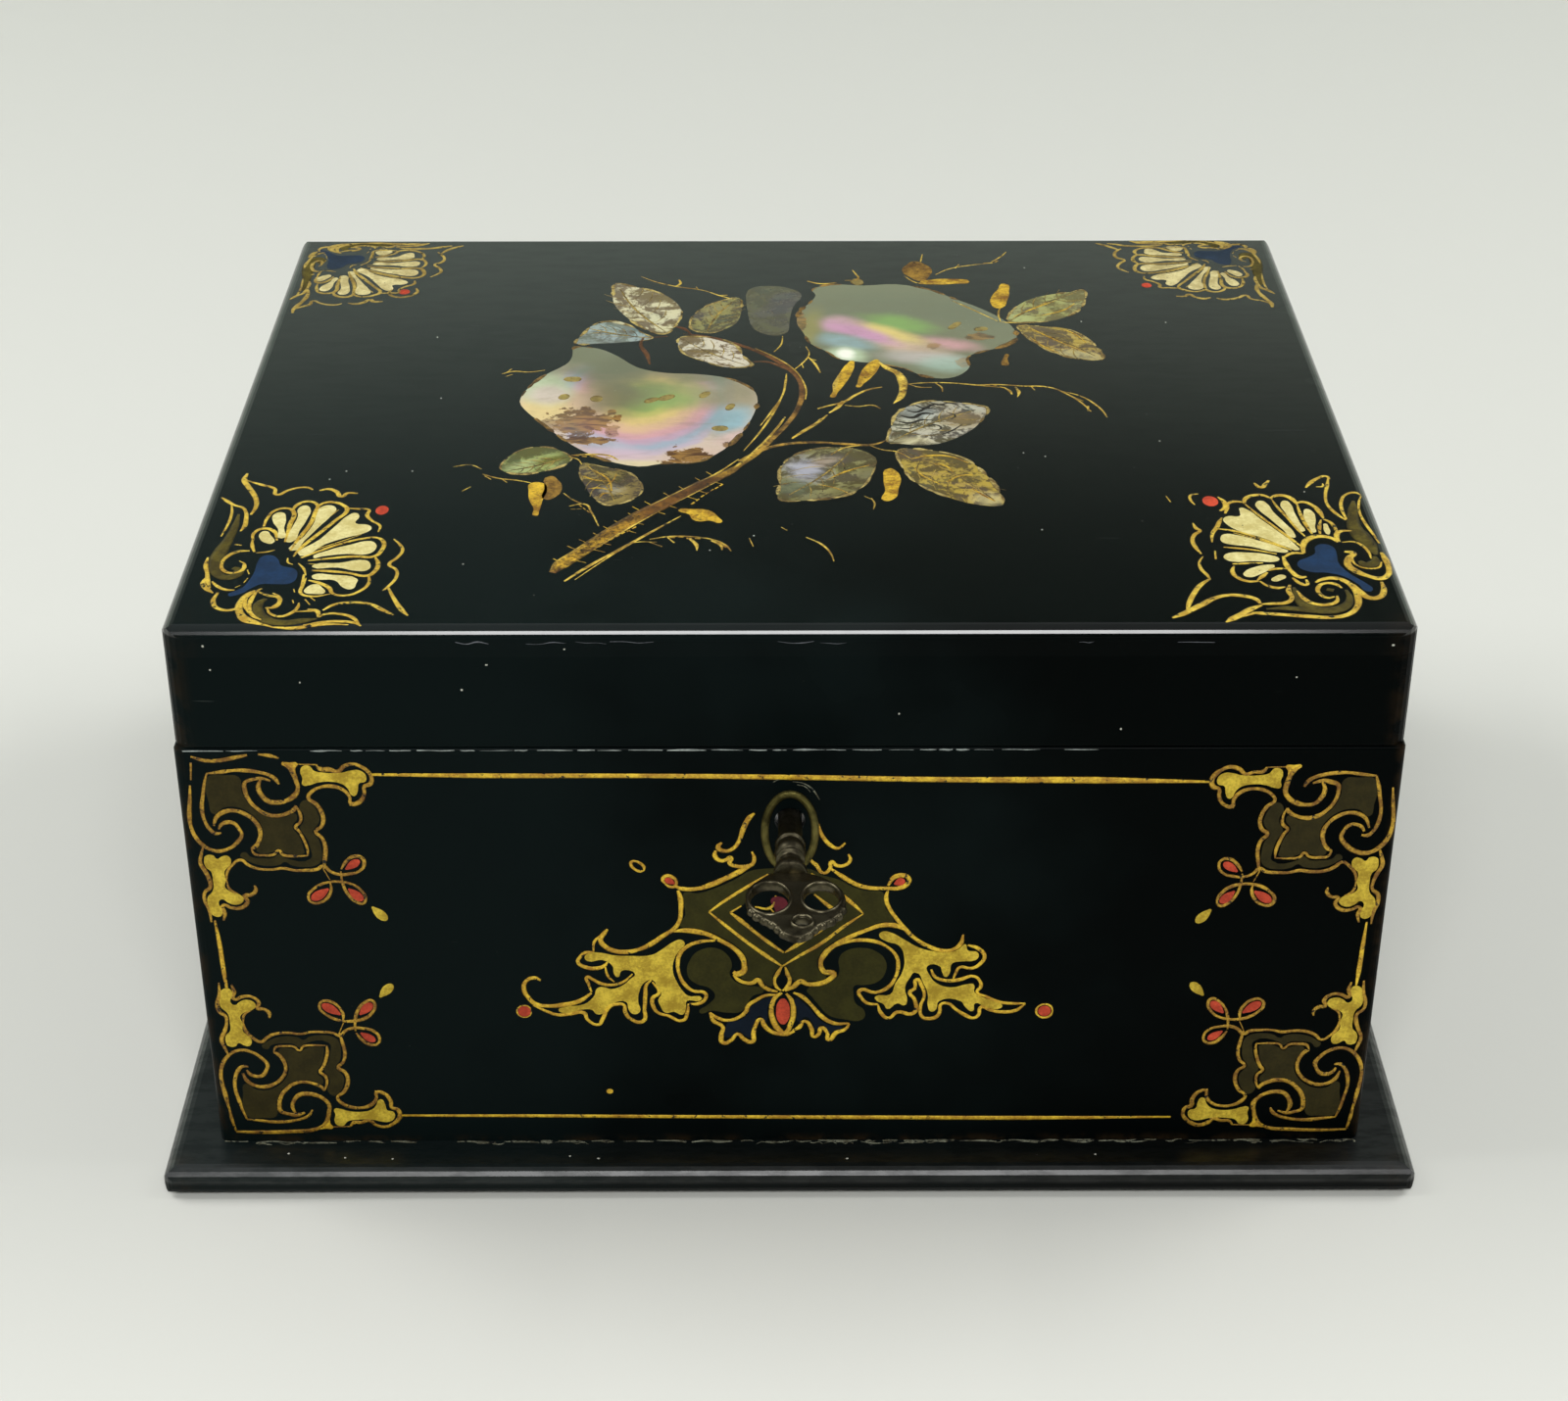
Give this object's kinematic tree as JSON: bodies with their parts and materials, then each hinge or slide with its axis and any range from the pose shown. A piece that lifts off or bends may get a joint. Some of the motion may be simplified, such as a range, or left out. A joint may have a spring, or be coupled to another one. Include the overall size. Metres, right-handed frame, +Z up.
{
  "type": "wind up music box",
  "caption": "Lacquered wooden box with a hinged inlaid lid, front box lock and key, storage compartments and a spring-driven cylinder musical movement.",
  "frame": {"origin": "middle of the flat underside of the base, on the surface that the box stands on", "axes": "+Z up, +X to the right seen from the front, -Y towards the front with the key"},
  "size_m": [0.2614, 0.2519, 0.1297],
  "materials": {
    "lacquer": "dark green-black lacquer, satin gloss, worn at the edges",
    "bare_wood": "plain stained wood",
    "inner_wood": "polished dark wood",
    "velvet": "deep red velvet",
    "glass": "clear",
    "pearl": "mother-of-pearl, iridescent",
    "brass": "aged brass",
    "steel": "bright steel",
    "blued_steel": "blued steel",
    "dark_steel": "old dark steel with brassy wear"
  },
  "bodies": {
    "case": {"base_board": "bare_wood", "plinth_front": "lacquer", "plinth_back": "lacquer", "plinth_left": "lacquer", "plinth_right": "lacquer", "case_front": "lacquer", "case_back": "lacquer", "case_left": "lacquer", "case_right": "lacquer", "partition": "inner_wood", "side_divider": "inner_wood", "compartment_lining": "velvet", "side_lining": "velvet", "cover_frame": "inner_wood", "cover_glass": "glass", "cover_screws": "brass", "lock_case": "steel", "lock_backplate": "brass", "escutcheon": "brass", "case_hinge_leaves": "brass", "hinge_pins": "steel", "case_screws": "brass", "bed_plate": "brass", "bed_screws": "steel", "comb_base": "brass", "comb": "steel", "comb_screws": "blued_steel", "barrel_bridge": "brass", "bridge_screws": "blued_steel", "cylinder_cock": "brass", "governor_frame": "brass", "frame_screws": "blued_steel"},
    "lid": {"lid_top": "lacquer", "lid_front": "lacquer", "lid_back": "lacquer", "lid_left": "lacquer", "lid_right": "lacquer", "lid_lining": "velvet", "pearl_roses": "pearl", "pearl_leaves": "pearl", "link_plate": "brass", "lid_hinge_leaves": "brass", "lid_screws": "brass"},
    "key": {"lock_key": "dark_steel"},
    "bolt": {"lock_bolt": "steel"},
    "winding": {"winding_arbor": "steel", "ratchet_wheel": "steel", "winding_key": "brass"},
    "click": {"click": "steel"},
    "barrel": {"spring_barrel": "brass", "barrel_cap": "brass", "mainspring": "steel"},
    "cylinder_train": {"music_cylinder": "brass", "cylinder_pins": "steel", "cylinder_arbor": "steel", "great_wheel": "brass"},
    "governor": {"governor_arbor": "steel"},
    "fly": {"fly_spindle": "steel"},
    "lever": {"stop_lever": "blued_steel"}
  },
  "joints": [
    {"name": "lid_hinge", "type": "hinge", "parent": "case", "child": "lid", "pos_m": [0, 0.1012, 0.1033], "axis": [-1, 0, 0], "range_deg": [0, 95]},
    {"name": "key_turn", "type": "hinge", "parent": "case", "child": "key", "pos_m": [0, -0.1, 0.0865], "axis": [0, 1, 0], "range_deg": [0, 90]},
    {"name": "bolt_slide", "type": "slide", "parent": "case", "child": "bolt", "axis": [1, 0, 0], "range_m": [-0.006, 0]},
    {"name": "winding_turn", "type": "hinge", "parent": "case", "child": "winding", "pos_m": [-0.062, 0.054, 0.02], "axis": [0, 0, 1], "continuous": true},
    {"name": "click_pivot", "type": "hinge", "parent": "case", "child": "click", "pos_m": [-0.062, 0.0675, 0.036], "axis": [0, 0, 1], "range_deg": [-8, 7]},
    {"name": "cylinder_spin", "type": "hinge", "parent": "case", "child": "cylinder_train", "pos_m": [0, 0.054, 0.0362], "axis": [1, 0, 0], "continuous": true},
    {"name": "barrel_spin", "type": "hinge", "parent": "case", "child": "barrel", "pos_m": [-0.062, 0.054, 0.022], "axis": [0, 0, 1], "continuous": true},
    {"name": "governor_spin", "type": "hinge", "parent": "case", "child": "governor", "pos_m": [0.035, 0.0732, 0.0362], "axis": [1, 0, 0], "continuous": true},
    {"name": "fly_spin", "type": "hinge", "parent": "case", "child": "fly", "pos_m": [0.0416, 0.0608, 0.04], "axis": [0, 0, 1], "continuous": true},
    {"name": "stop_lever_pivot", "type": "hinge", "parent": "case", "child": "lever", "pos_m": [0.0525, 0.071, 0.054], "axis": [0, 0, 1], "range_deg": [-16, 0]}
  ],
  "couplings": [
    {"joint": "bolt_slide", "follows": "key_turn", "m_per_rad": -0.0038197},
    {"joint": "barrel_spin", "follows": "cylinder_spin", "ratio": 0.35714},
    {"joint": "governor_spin", "follows": "cylinder_spin", "ratio": -5},
    {"joint": "fly_spin", "follows": "cylinder_spin", "ratio": -60}
  ]
}
